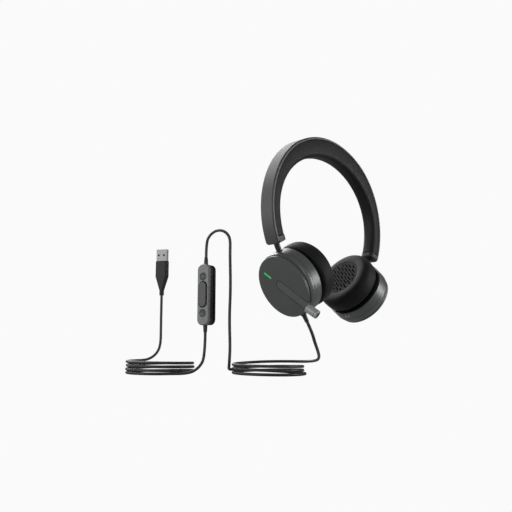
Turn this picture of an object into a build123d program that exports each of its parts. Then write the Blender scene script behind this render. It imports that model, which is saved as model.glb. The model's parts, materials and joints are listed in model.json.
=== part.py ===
from build123d import *
from math import acos, cos, degrees, hypot, pi, radians, sin, tan
import os

# Corded office headset with an in-line control box. Millimetres.
# Origin: where the wearer's head meets the headband pad, under the crown.
# +X runs from the microphone cup to the plain cup, -Y is the wearer's front, +Z is up.

# headband, in the XZ plane: two side arcs and a crown arc on the outside
half_width = 80.0
crown_rise = 73.6            # outer crown above the centres of the side arcs
side_radius = 71.3
end_angle = 116.0            # side arcs end here, counted from straight up
band_width = 13.5
shell_thick = 2.2
shell_edge = 0.9             # bevel along both outer edges
side_thick = 12.3            # shell and pad together, at the sides
crown_thick = 17.8           # shell and pad together, at the crown
end_cap_angle = 4.4
end_corner = 2.6
end_cap_round = 1.2
pad_width = 12.9
pad_round = 4.0
spring_thick = 0.6
spring_width = 8.0
seat_gap = 0.05              # between pieces fixed to each other
run_gap = 0.06               # running clearance round sliding and turning pieces

# arms: bowed bars that slide on arcs round the side arc centres
arm_inset = 5.4              # arm centre line below the outer surface
arm_thick = 3.4
arm_wide = 5.0
arm_corner = 1.6
arm_top_angle = 80.0
mic_arm_angle = 120.8        # where each bowed bar ends at rest
plain_arm_angle = 124.1
guide_wall = 0.55
guide_angle = 77.0
stub_radius = 2.2
neck_radius = 1.7
rivet_radius = 2.6
rivet_thick = 1.2

# cups, along the cup axis from the outer face towards the ear
face_radius = 26.85
cup_radius = 28.1
cup_wall = 1.8
cap_thick = 3.0
cap_gap = 0.3
floor_thick = 1.5
shoulder_depth = 5.0
seam_depth = 8.1
seam_gap = 0.25
housing_depth = 16.0
baffle_thick = 1.6
groove_step = 2.3
groove_depth = 4.3
groove_radius = 26.9
groove_inner = 26.2
cushion_radius = 27.9
cushion_thick = 15.4
cushion_plate = 1.3
cushion_round = 5.0
dish_radius = 17.0
dish_depth = 1.6
cup_drop = 30.0              # from the arm's end to the cup axis
arm_depth = 9.1              # arm centre line behind the outer face
cup_lean = 2.75              # cup axis below square to the arm
mic_turn = 7.0               # how far each cup is turned about its arm at rest
plain_turn = 5.4
pivot_drop = 10.0            # from the arm's end to the tilt axis
pivot_radius = 3.8
pivot_height = 6.0
trunnion_radius = 1.5
trunnion_reach = 6.4
lug_wall = 2.0
arm_slot_swing = 0.7
hub_radius = 6.0
hub_lip = 0.6
board_radius = 15.0
board_thick = 1.2
driver_radius = 18.0
magnet_radius = 9.0

contact_radius = 0.9         # gold charging contacts in the plain cup's wall
contact_apart = 3.0
contact_depth = 12.7

# microphone boom, stowed across the turning cap
boom_angle = 219.3           # in the cup's face, from its local x axis
boom_width = 7.7
boom_thick = 2.2
boom_flare = 0.5             # dovetail, each side
boom_gap = 0.2               # air along both edges of the strip
barrel_room = 0.35           # air between the barrel and the turning cap
boom_tail = 6.4
barrel_radius = 3.6
barrel_start = 27.8
barrel_length = 10.6
barrel_lift = 0.95           # barrel axis above the outer face where it starts
barrel_bend = 5.0
barrel_groove = 0.45
barrel_cap = 2.2
capsule_radius = 2.6
light_start = 12.9
light_length = 8.0
light_width = 1.6
light_depth = 1.8

# cord and its glands
cord_radius = 1.35
gland_angle = 261.0
gland_depth = 8.6
gland_radius = 2.0
gland_length = 7.4
gland_collar = 1.2
gland_flare = 0.45
relief_radius = 2.1
relief_length = 6.6
relief_spigot = 3.0
relief_set = 1.6             # cord axis behind the seam of the control box

# control box: local x across, y up, z out of the button face
box_centre = Vector(-50.8, 104.9, -119.4)
box_facing = 192.0           # heading of the button face, from +X towards +Y
box_width = 13.4
box_height = 57.4
box_corner = 5.6
front_thick = 3.0
rear_thick = 5.4
box_wall = 1.1
box_bevel = 0.9
button_radius = 3.4
button_rim = 0.5
button_gap = 0.35
call_height = 16.8
mute_height = -17.4
rocker_width = 8.2
rocker_height = 23.6
rocker_gap = 0.8
rocker_proud = 1.1
rocker_axis = 1.1            # above the seam
box_light_height = -22.9
box_light_radius = 0.5
clip_inset = 0.3             # clip's outline inside the box's
clip_thick = 3.2
clip_gap = 1.0
clip_pin_height = 23.0
clip_pin_radius = 0.8
clip_boss = 1.7
clip_boss_width = 6.4
clip_lug_thick = 1.4

# USB-A plug: same local axes as the box, origin at the mouth of the metal shell
plug_mouth = Vector(-38.2, 186.0, -66.4)
plug_facing = 207.0
usb_width = 12.0
usb_height = 4.5
usb_length = 12.2
usb_wall = 0.3
usb_buried = 6.0
tongue_thick = 1.9
latch_width = 2.5
latch_height = 1.9
latch_apart = 5.8
latch_down = 6.2
mould_width = 13.4
mould_thick = 7.0
mould_straight = 16.3
mould_taper = 14.9
mould_tail = 4.8
mould_tail_radius = 2.35

# surface that the coils lie on, and the coils
table_z = -193.9
near_coil_centre = Vector(-11.6, 60.5, 0)
near_coil_radius = 31.6
near_coil_height = 13.4
far_coil_centre = Vector(-60.9, 156.5, 0)
far_coil_radius = 31.2
far_coil_height = 15.0
# centre lines of the cord, as chosen
drop_points = [  # cord from the microphone cup round to the near coil
    (-35.7, -5.1, -147.5), (-31.2, -6.6, -156.3), (-25.9, -5.0, -163.9),
    (-9.7, 4.0, -171.8), (10.2, 17.9, -177.2), (28.6, 34.8, -180.7),
    (34.8, 53.0, -182.0), (24.1, 67.6, -181.7), (11.3, 82.4, -181.8),
]
riser_points = [  # from the foot of the near coil up, over and down into the control box
    (-31.0, 92.0, -187.8), (-38.6, 84.4, -187.2), (-43.2, 79.2, -184.6),
    (-45.1, 76.8, -178.7), (-44.8, 76.4, -167.7), (-45.5, 77.0, -142.7),
    (-44.8, 76.2, -113.6), (-45.3, 76.9, -83.6), (-45.1, 76.6, -69.6),
    (-45.7, 80.4, -63.3), (-46.6, 87.1, -59.6), (-47.8, 94.7, -59.6),
    (-48.7, 101.4, -63.3), (-49.2, 105.2, -69.6), (-49.2, 105.2, -84.1),
]
lower_points = [  # from the control box down to the far coil
    (-49.2, 105.2, -154.7), (-49.2, 105.2, -177.6), (-53.2, 108.4, -186.8),
    (-59.9, 114.0, -192.2), (-75.4, 126.4, -192.4), (-84.6, 136.2, -192.5),
]
lead_points = [  # from the top of the far coil up into the plug
    (-63.0, 188.0, -180.2), (-51.9, 186.9, -180.2), (-43.1, 186.1, -175.1),
    (-38.0, 185.8, -166.2), (-38.2, 186.0, -144.1), (-38.2, 186.0, -114.6),
]

on_base = (Align.CENTER, Align.CENTER, Align.MIN)
side_centre_z = crown_thick - crown_rise
side_centre_x = half_width - side_radius
arm_radius = side_radius - arm_inset


def save(solid, name):
    shape = solid.solid() if hasattr(solid, "solid") and solid.solid() else solid
    shape.label = name
    export_step(shape, f"parts/{name}.step")
    return shape


# ---------------------------------------------------------------- headband

def crown_arc():
    """Drop of the crown arc's centre below the side centres, and its radius."""
    rise = crown_rise - side_radius
    drop = (side_centre_x ** 2 - rise ** 2) / (2 * rise)
    return drop, crown_rise + drop


def on_side(side, radius, angle, y=0.0):
    a = radians(angle)
    return Vector(side * (side_centre_x + radius * sin(a)), y, side_centre_z + radius * cos(a))


def outer_run(inset, last_angle):
    """Outer outline moved inwards by inset, from the left end to the right end."""
    drop, radius = crown_arc()
    join = degrees(acos(drop / hypot(drop, side_centre_x)))
    side = side_radius - inset
    middle = (join + last_angle) / 2
    left = ThreePointArc(on_side(-1, side, last_angle), on_side(-1, side, middle), on_side(-1, side, join))
    top = Vector(0, 0, side_centre_z + radius - drop - inset)
    crown = ThreePointArc(on_side(-1, side, join), top, on_side(1, side, join))
    right = ThreePointArc(on_side(1, side, join), on_side(1, side, middle), on_side(1, side, last_angle))
    return [left, crown, right]


def pad_run(last_angle):
    """Inner outline: half an ellipse over the crown, running into arcs at the sides."""
    side = side_radius - side_thick
    wide = side_centre_x + side
    high = crown_rise - crown_thick
    plane = Plane(origin=(0, 0, side_centre_z), x_dir=(1, 0, 0), z_dir=(0, -1, 0))
    top = plane * EllipticalCenterArc((0, 0), wide, high, start_angle=0, arc_size=180)
    middle = (90 + last_angle) / 2
    left = ThreePointArc(on_side(-1, side, 90), on_side(-1, side, middle), on_side(-1, side, last_angle))
    right = ThreePointArc(on_side(1, side, 90), on_side(1, side, middle), on_side(1, side, last_angle))
    return [left, top, right]


def slab(runs_a, runs_b, width):
    """Solid between two runs of edges that share their end angles, centred on Y = 0."""
    starts = [runs_a[0] @ 0, runs_a[-1] @ 1]
    ends = sorted([p for run in runs_b for p in (run @ 0, run @ 1)], key=lambda p: p.Z)[:2]
    ends.sort(key=lambda p: p.X)
    closing = [Line(starts[0], ends[0]), Line(starts[1], ends[1])]
    face = Face(Wire(runs_a + runs_b + closing))
    return extrude(face, width / 2, dir=(0, 1, 0), both=True)


def side_block(side, inset_a, inset_b, angle_a, angle_b, width):
    """Curved block on one side of the band, between two insets and two angles."""
    r_a, r_b = side_radius - inset_a, side_radius - inset_b
    middle = (angle_a + angle_b) / 2
    edges = [
        ThreePointArc(on_side(side, r_a, angle_a), on_side(side, r_a, middle), on_side(side, r_a, angle_b)),
        Line(on_side(side, r_a, angle_b), on_side(side, r_b, angle_b)),
        ThreePointArc(on_side(side, r_b, angle_b), on_side(side, r_b, middle), on_side(side, r_b, angle_a)),
        Line(on_side(side, r_b, angle_a), on_side(side, r_a, angle_a)),
    ]
    return extrude(Face(Wire(edges)), width / 2, dir=(0, 1, 0), both=True)


def end_edges(solid, angle):
    """Edges at the band's two ends that run along the thickness."""
    a = radians(angle)
    found = []
    for edge in solid.edges():
        line = edge @ 1 - edge @ 0
        p = edge.center()
        s = 1 if p.X > 0 else -1
        past = (p - on_side(s, side_radius, angle)).dot(Vector(s * cos(a), 0, -sin(a)))
        if abs(line.Y) < 0.01 and abs(past) < 0.2 and abs(abs(p.Y) - band_width / 2) < 0.05:
            found.append(edge)
    return found


def headband_shell():
    solid = slab(outer_run(0, end_angle), outer_run(shell_thick, end_angle), band_width)
    solid = fillet(end_edges(solid, end_angle), end_corner)
    outer = [e for e in solid.edges() if e.length > band_width * 3 and on_outline(e)]
    return chamfer(outer, shell_edge)


def on_outline(edge):
    """True where an edge lies on the band's outer surface."""
    p = edge @ 0.5
    drop, radius = crown_arc()
    x, z = abs(p.X), p.Z - side_centre_z
    on_crown = abs(hypot(x, z + drop) - radius) < 0.05
    on_flank = abs(hypot(x - side_centre_x, z) - side_radius) < 0.05
    return on_crown or on_flank


def headband_spring():
    top = shell_thick + seat_gap
    last = end_angle - end_cap_angle - 1.5
    return slab(outer_run(top, last), outer_run(top + spring_thick, last), spring_width)


def guide_insets():
    half = arm_thick / 2 + run_gap + guide_wall
    return arm_inset - half, arm_inset + half


def arm_guide(side):
    low, high = guide_insets()
    last = end_angle - end_cap_angle - 0.2
    outside = side_block(side, low, high, guide_angle, last, arm_wide + 2 * (run_gap + guide_wall))
    return outside - arm_channel(side, guide_angle - 1, last + 1)


def arm_channel(side, angle_a, angle_b):
    half = arm_thick / 2 + run_gap
    bar = side_block(side, arm_inset - half, arm_inset + half, angle_a, angle_b, arm_wide + 2 * run_gap)
    return fillet(long_edges(bar), arm_corner)


def long_edges(bar):
    return bar.edges().sort_by(SortBy.LENGTH)[-4:]


def headband_pad():
    last = end_angle - end_cap_angle
    solid = slab(outer_run(shell_thick + seat_gap, last), pad_run(last), pad_width)
    rims = [e for e in solid.edges() if on_pad_rim(e)]
    solid = fillet(rims, pad_round)
    top = shell_thick
    solid -= slab(outer_run(top, end_angle), outer_run(top + spring_thick + 2 * seat_gap, end_angle),
                  spring_width + 2 * seat_gap)
    low, high = guide_insets()
    for side in (-1, 1):
        solid -= side_block(side, low - seat_gap - 1, high + seat_gap, guide_angle - 0.3, end_angle,
                            arm_wide + 2 * (run_gap + guide_wall + seat_gap))
    return solid


def on_pad_rim(edge):
    """True for the long edges on the pad's head side."""
    if edge.length < side_thick * 1.5 or abs(abs(edge.center().Y) - pad_width / 2) > 0.05:
        return False
    p = edge @ 0.5
    x, z = abs(p.X), p.Z - side_centre_z
    side = side_radius - side_thick
    on_ellipse = abs((x / (side_centre_x + side)) ** 2 + (z / (crown_rise - crown_thick)) ** 2 - 1) < 0.01
    return on_ellipse or abs(hypot(x - side_centre_x, z) - side) < 0.05


def headband_end(side):
    """Block that closes one end of the band, round the arm's mouth."""
    first = end_angle - end_cap_angle
    solid = side_block(side, shell_thick + seat_gap, side_thick, first + 0.1, end_angle, band_width)
    solid = fillet([e for e in solid.edges() if on_cap_rim(side, e)], pad_round - 0.4)
    rounded = fillet(end_edges(solid, end_angle), end_cap_round)
    return rounded - arm_channel(side, first - 1, end_angle + 1)


# ---------------------------------------------------------------- arms and pivots

def on_cap_rim(side, edge):
    """True for the two long edges on a cap's head side."""
    middle = on_side(side, side_radius - side_thick, end_angle - end_cap_angle / 2)
    p = edge @ 0.5
    return hypot(p.X - middle.X, p.Z - middle.Z) < 0.6 and abs(abs(p.Y) - band_width / 2) < 0.05


def arm_end(side):
    """Where a bowed bar ends, its direction there, and the cup's inward axis square to it."""
    angle = mic_arm_angle if side < 0 else plain_arm_angle
    a = radians(angle)
    point = on_side(side, arm_radius, angle)
    along = Vector(side * cos(a), 0, -sin(a))
    inward = Vector(-side * sin(a), 0, -cos(a))
    return point, along, inward


def cup_plane(side):
    """Cup frame: z from the outer face towards the ear, y up the face."""
    point, along, inward = arm_end(side)
    lean = Axis((0, 0, 0), (0, side, 0))
    turn = Axis((0, 0, 0), tuple(along))
    angle = mic_turn if side < 0 else plain_turn
    down = along.rotate(lean, -cup_lean).rotate(turn, angle)
    inner = inward.rotate(lean, -cup_lean).rotate(turn, angle)
    origin = point + down * cup_drop - inner * arm_depth
    up = down * -1
    return Plane(origin=origin, x_dir=up.cross(inner), z_dir=inner)


def arm_frame(side):
    """Frame on the arm's axis: z down the arm from the bowed bar's end, x along the tilt axis."""
    point, along, inward = arm_end(side)
    across = cup_plane(side).x_dir
    square = across - along * across.dot(along)
    return Plane(origin=point, x_dir=square, z_dir=along)


def arm(side):
    angle = mic_arm_angle if side < 0 else plain_arm_angle
    half = arm_thick / 2
    top = arm_top_angle + angle - mic_arm_angle
    bar = side_block(side, arm_inset - half, arm_inset + half, top, angle, arm_wide)
    bar = fillet(long_edges(bar), arm_corner - run_gap)
    frame = arm_frame(side)
    shoulder = pivot_drop - pivot_height / 2 - 0.1
    head = pivot_drop + pivot_height / 2 + 0.1
    stub = Location((0, 0, -1.2)) * Cylinder(stub_radius, shoulder + 1.2, align=on_base)
    neck = Cylinder(neck_radius, head, align=on_base)
    rivet = Location((0, 0, head)) * Cylinder(rivet_radius, rivet_thick, align=on_base)
    return bar + frame * (stub + neck + rivet)


def pivot(side):
    """Block on the arm's neck, with a trunnion out of each side for the cup to tilt on."""
    block = Cylinder(pivot_radius, pivot_height)
    block += Rotation(0, 90, 0) * Cylinder(trunnion_radius, 2 * trunnion_reach)
    block -= Cylinder(neck_radius + run_gap, pivot_height + 2)
    return arm_frame(side) * Location((0, 0, pivot_drop)) * block


# ---------------------------------------------------------------- cups

def ring(outer, inner, start, end):
    body = Cylinder(outer, end - start, align=on_base)
    if inner:
        body -= Cylinder(inner, end - start, align=on_base)
    return Location((0, 0, start)) * body


def pivot_point():
    """Tilt axis in the cup frame."""
    y = cup_drop - pivot_drop * cos(radians(cup_lean))
    z = arm_depth + pivot_drop * sin(radians(cup_lean))
    return y, z


def arm_slot():
    """Hole through the cup wall that the arm's stub swings in."""
    half_z = stub_radius + 0.35 + arm_slot_swing
    half_x = stub_radius + 0.45
    height = 8
    slot = Box(2 * half_x, height, 2 * half_z)
    slot = fillet(slot.edges().filter_by(Axis.Y), half_x * 0.9)
    return Location((0, cup_radius - 1, arm_depth + 0.1)) * slot


def outer_shell(side):
    wall_start = cap_thick + cap_gap
    inner = cup_radius - cup_wall
    rise = cup_radius - face_radius
    with BuildSketch(Plane.XZ) as profile:
        with BuildLine():
            start = (face_radius + rise * 0.55, wall_start)
            top = (cup_radius, shoulder_depth + 1.2)
            Polyline(top, (cup_radius, seam_depth - seam_gap / 2), (inner, seam_depth - seam_gap / 2),
                     (inner, wall_start + floor_thick), (hub_radius, wall_start + floor_thick),
                     (hub_radius, wall_start), start)
            ThreePointArc(start, (cup_radius - 0.22, (wall_start + shoulder_depth + 1.2) / 2 - 0.1), top)
        make_face()
    shell = revolve(profile.sketch, Axis.Z)
    y, z = pivot_point()
    lug_x = pivot_radius + 0.35
    lug_top = seam_depth + 4.5
    for s in (-1, 1):
        lug = Box(lug_wall, 6, lug_top - wall_start - floor_thick, align=(Align.MIN, Align.CENTER, Align.MIN))
        offset = lug_x if s > 0 else -lug_x - lug_wall
        shell += Location((offset, y, wall_start + floor_thick)) * lug
    shell -= Location((0, y, z)) * Rotation(0, 90, 0) * Cylinder(trunnion_radius + run_gap, 30)
    shell -= Location((0, y, z)) * Box(2 * lug_x, 2 * pivot_radius + 4, 2 * pivot_radius + 1.0)
    shell -= arm_slot()
    if side < 0:
        shell -= gland_cut()
    return shell


def rear_ring(side):
    inner = cup_radius - cup_wall
    body = ring(cup_radius, inner, seam_depth + seam_gap / 2, housing_depth)
    rims = body.edges().filter_by(GeomType.CIRCLE).filter_by(lambda e: abs(e.radius - cup_radius) < 0.01)
    body = fillet(rims.sort_by(Axis.Z)[-1:], 0.5)
    spigot = ring(inner - seat_gap, inner - 1.2, seam_depth - 1.2, seam_depth + 2)
    body += spigot + ring(inner + 0.2, inner - 1.2, seam_depth + seam_gap / 2, seam_depth + 2)
    y, z = pivot_point()
    body -= Location((0, y + 2, z)) * Box(2 * (trunnion_reach + 1.4), 10, 2 * pivot_radius + 2)
    body -= arm_slot()
    if side < 0:
        body -= gland_cut()
    else:
        for place in contact_places():
            body -= place * Cylinder(contact_radius, 3 * cup_wall)
    return body




def contact_places():
    """Two charging contacts in the bottom of the plain cup's rear ring, cup frame."""
    return [Location((s * contact_apart / 2, -(cup_radius - cup_wall / 2), contact_depth)) * Rotation(90, 0, 0)
            for s in (-1, 1)]


def contact(index):
    pin = Cylinder(contact_radius, cup_wall + 1.6)
    return contact_places()[index] * Location((0, 0, -0.7)) * pin


def baffle(side):
    plate = ring(cup_radius - cup_wall - seat_gap, 10.0, housing_depth - baffle_thick, housing_depth)
    start = housing_depth
    body = plate + ring(groove_radius, groove_inner - 1.6, start, start + groove_step)
    body += ring(groove_inner, groove_inner - 1.6, start, start + groove_depth)
    return body - ring(driver_radius + seat_gap, 0, housing_depth - 0.8, housing_depth + 1)


def cushion_carrier():
    start = housing_depth + groove_depth
    plate = ring(cushion_radius - 2.2, 4.0, start, start + cushion_plate)
    for i in range(6):
        a = radians(60 * i)
        plate -= Location((11 * cos(a), 11 * sin(a), start)) * Cylinder(3.0, 4)
    return plate


def cushion():
    start = housing_depth + groove_depth
    body = ring(cushion_radius, 0, start, start + cushion_thick)
    rims = body.edges().filter_by(GeomType.CIRCLE).sort_by(Axis.Z)
    body = fillet(rims[-1:], cushion_round)
    body = fillet(body.edges().filter_by(GeomType.CIRCLE).sort_by(Axis.Z)[:1], 1.5)
    dish = Sphere((dish_radius ** 2 + dish_depth ** 2) / (2 * dish_depth))
    lift = start + cushion_thick + (dish_radius ** 2 - dish_depth ** 2) / (2 * dish_depth)
    body -= Location((0, 0, lift)) * dish
    return body - ring(cushion_radius - 2.2 + seat_gap, 0, start - 1, start + cushion_plate + seat_gap)


def driver_frame():
    body = ring(driver_radius, 0, housing_depth - 0.8 + seat_gap, housing_depth + 1.6)
    rims = body.edges().filter_by(GeomType.CIRCLE).sort_by(Axis.Z)
    body = fillet(rims[-1:], 0.6)
    for i in range(8):
        a = radians(45 * i)
        body -= Location((12 * cos(a), 12 * sin(a), housing_depth)) * Cylinder(1.6, 8)
    return body


def driver_magnet():
    return ring(magnet_radius, 2.0, housing_depth - 4.0, housing_depth - 0.8)


def circuit_board():
    start = cap_thick + cap_gap + floor_thick + 2.6
    body = ring(board_radius, 0, start, start + board_thick)
    body = Location((0, -4, 0)) * body
    chips = ((-6, -6, 5, 5), (5, -8, 6, 4), (3, 2, 3, 3))
    for x, y, wide, high in chips:
        body += Location((x, y, start + board_thick)) * Box(wide, high, 1.0, align=on_base)
    return body


def battery():
    start = cap_thick + cap_gap + floor_thick + 0.4
    cell = Box(24, 16, 4.0, align=on_base)
    cell = fillet(cell.edges().filter_by(Axis.Z), 2.0)
    return Location((0, -6, start)) * cell


def plain_cap():
    body = ring(face_radius, 0, 0, cap_thick)
    rim = body.edges().filter_by(GeomType.CIRCLE).sort_by(Axis.Z)[:1]
    body = fillet(rim, 0.5)
    return body + ring(hub_radius - run_gap, 0, cap_thick - 0.5, cap_thick + cap_gap + floor_thick)


# ---------------------------------------------------------------- microphone boom

def boom_frame():
    """Boom frame inside the cup frame: x out along the boom, z towards the ear."""
    return Rotation(0, 0, boom_angle)


def dovetail(length, start, grow, depth):
    """Bar with flared flanks: narrow at the outer face, wide at its foot."""
    top = boom_width / 2 + grow
    foot = top + boom_flare
    with BuildSketch(Plane.YZ) as profile:
        Polygon((-top, 0), (top, 0), (foot, depth), (-foot, depth), align=None)
    return Location((start, 0, 0)) * extrude(profile.sketch, length)


def boom_cut():
    grow = boom_gap
    depth = boom_thick + run_gap
    middle = -boom_tail + boom_width / 2
    cut = dovetail(face_radius + 5, middle, grow, depth)
    nose = Cylinder(boom_width / 2 + grow, depth, align=on_base)
    cut += Location((middle, 0, 0)) * nose
    mouth = Location((middle, 0, -1)) * Cylinder(boom_width / 2 + grow, 1.5, align=on_base)
    lip = Box(face_radius + 5, boom_width + 2 * grow, 1.2, align=(Align.MIN, Align.CENTER, Align.CENTER))
    return boom_frame() * (cut + mouth + Location((middle, 0, -0.5)) * lip)


def mic_cap():
    body = ring(face_radius, 0, 0, cap_thick)
    rim = body.edges().filter_by(GeomType.CIRCLE).sort_by(Axis.Z)[:1]
    body = fillet(rim, 0.5)
    floor = cap_thick + cap_gap + floor_thick
    body += ring(hub_radius - run_gap, 3.0, cap_thick - 0.5, floor + 1.2)
    body += ring(hub_radius + hub_lip, 3.0, floor + 0.2, floor + 1.2)
    body -= boom_cut()
    body -= light_bar(seat_gap, -1)
    return body - barrel_solid(barrel_radius + barrel_room, -4, barrel_length)


def light_bar(grow, top):
    length = light_length + 2 * grow
    bar = Box(length, light_width + 2 * grow, light_depth - top, align=(Align.MIN, Align.CENTER, Align.MIN))
    bar = fillet(bar.edges().filter_by(Axis.Z), light_width * 0.45)
    turned = Rotation(0, 0, boom_angle + 180)
    return turned * Location((light_start - grow, 0, top)) * bar


def barrel_frame():
    tilt = Rotation(0, 90 - barrel_bend, 0)
    return boom_frame() * Location((barrel_start, 0, -barrel_lift)) * tilt


def barrel_solid(radius, start, end):
    body = Cylinder(radius, end - start, align=on_base)
    return barrel_frame() * Location((0, 0, start)) * body


def boom():
    middle = -boom_tail + boom_width / 2
    bar = dovetail(barrel_start + 1.5 - middle, middle, 0, boom_thick)
    nose = Cylinder(boom_width / 2, boom_thick, align=on_base)
    bar += Location((middle, 0, 0)) * nose
    return boom_frame() * bar - barrel_solid(barrel_radius, 0, barrel_length)


def boom_barrel():
    body = Cylinder(barrel_radius, barrel_length, align=on_base)
    rims = body.edges().filter_by(GeomType.CIRCLE).sort_by(Axis.Z)
    body = chamfer(rims[-1:], 0.4)
    groove = barrel_length - barrel_cap
    body -= Location((0, 0, groove - barrel_groove)) * (
        ring(barrel_radius + 1, barrel_radius - 0.4, 0, barrel_groove))
    body -= ring(capsule_radius, 0, barrel_length - 1.0, barrel_length + 1)
    return barrel_frame() * body


def boom_capsule():
    return barrel_solid(capsule_radius - seat_gap, barrel_length - 1.0, barrel_length - 0.35)


# ---------------------------------------------------------------- cord fittings

def gland_place():
    a = radians(gland_angle)
    root = Vector(cup_radius * cos(a), cup_radius * sin(a), gland_depth)
    out = Vector(cos(a), sin(a), 0)
    return Plane(origin=root, x_dir=(0, 0, 1), z_dir=out)


def gland_cut():
    return gland_place() * Cylinder(gland_radius + seat_gap, 9)


def gland():
    """Strain relief: shank through the wall, collar outside it, tapered tail round the cord."""
    shank = Location((0, 0, -cup_wall - 1.4)) * Cylinder(gland_radius, cup_wall + 2, align=on_base)
    collar = Location((0, 0, 0.15)) * Cylinder(gland_radius + gland_flare, gland_collar, align=on_base)
    tail = Location((0, 0, gland_collar)) * Cone(gland_radius, cord_radius + 0.35, gland_length - gland_collar,
                                                 align=on_base)
    return gland_place() * (shank + collar + tail)


def cord_tube(points, name):
    """Cord along straight runs joined by the largest arcs that the runs allow."""
    points = [Vector(*p) for p in points]
    radii = []
    for before, here, after in zip(points, points[1:], points[2:]):
        run_a, run_b = here - before, after - here
        half = radians(run_a.get_angle(run_b)) / 2
        radii.append(0.45 * min(run_a.length, run_b.length) / tan(half))
    path = FilletPolyline(*points, radius=radii)
    start = Plane(origin=path @ 0, z_dir=path % 0)
    tube = sweep(start * Circle(cord_radius), path=path)
    expected = pi * cord_radius ** 2 * path.length
    print(f"{name}: length {path.length:.1f}, volume ratio {tube.volume / expected:.4f}, "
          f"radii {[round(r, 1) for r in radii]}")
    return tube


def clear_of_coil(tube, centre, radius, height):
    """The cord with the part that lies within the coil taken away."""
    block = Cylinder(radius + cord_radius, height + 6, align=on_base)
    left = tube - Location((centre.X, centre.Y, table_z - 3)) * block
    return left.solids().sort_by(SortBy.VOLUME)[-1]


def coil(centre, radius, height):
    body = ring(radius + cord_radius, radius - cord_radius, 0, height)
    return Location((centre.X, centre.Y, table_z)) * body


# ---------------------------------------------------------------- control box

def facing_plane(origin, heading):
    a = radians(heading)
    out = Vector(cos(a), sin(a), 0)
    across = Vector(-sin(a), cos(a), 0)
    return Plane(origin=origin, x_dir=across, z_dir=out)


def box_plane():
    return facing_plane(box_centre, box_facing)


def box_block(grow, z_low, z_high):
    wide, high = box_width + 2 * grow, box_height + 2 * grow
    body = Box(wide, high, z_high - z_low, align=on_base)
    body = fillet(body.edges().filter_by(Axis.Z), box_corner + grow)
    return Location((0, 0, z_low)) * body


def stadium(width, height, z_low, z_high):
    body = Box(width, height, z_high - z_low, align=on_base)
    body = fillet(body.edges().filter_by(Axis.Z), width * 0.499)
    return Location((0, 0, z_low)) * body


def relief_cut(end):
    place = Location((0, end * box_height / 2, -relief_set)) * Rotation(90, 0, 0)
    return place * Cylinder(relief_radius + seat_gap, 6)


def control_front():
    body = box_block(0, seat_gap, front_thick)
    body = chamfer(body.faces().sort_by(Axis.Z)[-1].edges(), box_bevel)
    body -= box_block(-box_wall, -1, front_thick - box_wall)
    for height in (call_height, mute_height):
        body -= Location((0, height, 0)) * Cylinder(button_radius + button_gap, 20)
    body -= stadium(rocker_width + 2 * rocker_gap, rocker_height + 2 * rocker_gap, -2, 20)
    body -= Location((0, box_light_height, 0)) * Cylinder(box_light_radius + seat_gap, 20)
    return body - relief_cut(1) - relief_cut(-1)


def control_rear():
    body = box_block(-0.25, -rear_thick, -seat_gap)
    body = chamfer(body.faces().sort_by(Axis.Z)[0].edges(), box_bevel)
    body -= box_block(-box_wall - 0.25, -rear_thick + box_wall, 1)
    low = -rear_thick - clip_gap - clip_boss - 1.5
    for s in (-1, 1):
        lug = Box(clip_lug_thick, 3.6, -rear_thick + 0.4 - low, align=on_base)
        lug = fillet(lug.edges().filter_by(Axis.X).sort_by(Axis.Z)[:2], 1.2)
        x = s * (clip_boss_width / 2 + 0.3 + clip_lug_thick / 2)
        body += Location((x, clip_pin_height, low)) * lug
    body -= Location((0, clip_pin_height, clip_axis_z())) * Rotation(0, 90, 0) * Cylinder(clip_pin_radius, 30)
    return body - relief_cut(1) - relief_cut(-1)


def clip_axis_z():
    return -rear_thick - clip_gap - clip_boss + 0.2


def control_board():
    body = box_block(-box_wall - 0.8, -1.4, -0.4)
    for end in (-1, 1):
        body -= Location((0, end * box_height / 2, 0)) * Box(8, 7, 10)
    return body


def push_button(height):
    stem = Cylinder(button_radius, front_thick - 0.9, align=on_base)
    rim = stem.edges().filter_by(GeomType.CIRCLE).sort_by(Axis.Z)[-1:]
    stem = fillet(rim, 0.3)
    skirt = Cylinder(button_radius + button_rim, 0.7, align=on_base)
    dish = Location((0, 0, front_thick - 0.9 + 12.0 - 0.35)) * Sphere(12.0)
    button = stem + skirt - dish
    return Location((0, height, 0.9)) * button


def volume_rocker():
    top = front_thick + rocker_proud
    body = stadium(rocker_width, rocker_height, 0.7, top)
    body = fillet(body.faces().sort_by(Axis.Z)[-1].edges(), 0.6)
    skirt = Box(box_width - 2 * box_wall - 0.6, 9.0, 0.8, align=on_base)
    axle = Location((0, 0, rocker_axis)) * Rotation(0, 90, 0) * Cylinder(0.6, box_width - 2 * box_wall - 0.3)
    return body + Location((0, 0, 0.7)) * skirt + axle


def box_light():
    body = Cylinder(box_light_radius, front_thick + 0.2, align=on_base)
    return Location((0, box_light_height, 0)) * body


def control_relief(end):
    spigot = Cylinder(relief_radius, relief_spigot, align=(Align.CENTER, Align.CENTER, Align.MAX))
    tail = Cone(relief_radius, cord_radius + 0.25, relief_length, align=on_base)
    turn = Rotation(-90 * end, 0, 0)
    return Location((0, end * box_height / 2, -relief_set)) * turn * (spigot + tail)


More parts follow.
